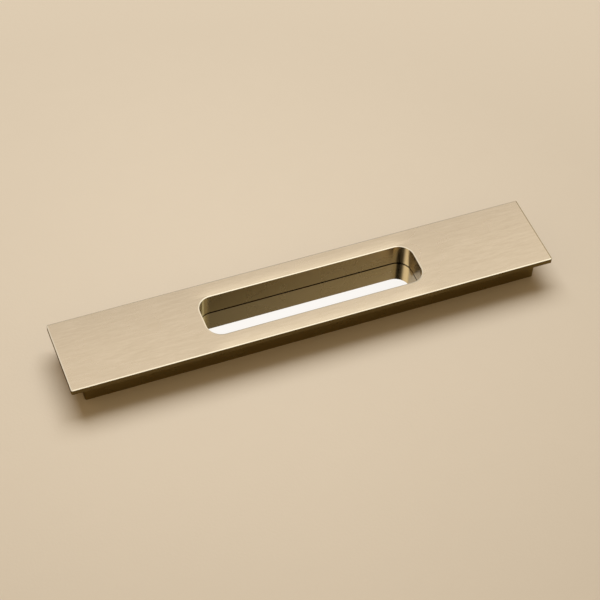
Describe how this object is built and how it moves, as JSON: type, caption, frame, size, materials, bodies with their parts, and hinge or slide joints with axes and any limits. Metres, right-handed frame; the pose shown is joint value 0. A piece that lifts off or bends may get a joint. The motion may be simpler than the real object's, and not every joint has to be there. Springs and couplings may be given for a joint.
{
  "type": "concealed cabinet handle",
  "caption": "Flat rectangular recessed door pull: thin face plate on a narrower body, with a blind round-cornered finger pocket and a polished floor.",
  "frame": {"origin": "middle of the back face of the body, which is the bottom of the bounding box as the handle lies on its back", "axes": "+X along the handle, towards the end that the window lies nearer to; +Y across it; +Z out of the door, towards the user"},
  "size_m": [0.2, 0.034, 0.0119],
  "materials": {
    "satin_champagne": "satin",
    "polished_floor": "polished",
    "plated_screw": "satin"
  },
  "bodies": {
    "root": {"housing": "satin_champagne", "floor_plate": "polished_floor", "floor_screw_left_near": "plated_screw", "floor_screw_left_far": "plated_screw", "floor_screw_right_near": "plated_screw", "floor_screw_right_far": "plated_screw"}
  },
  "joints": []
}
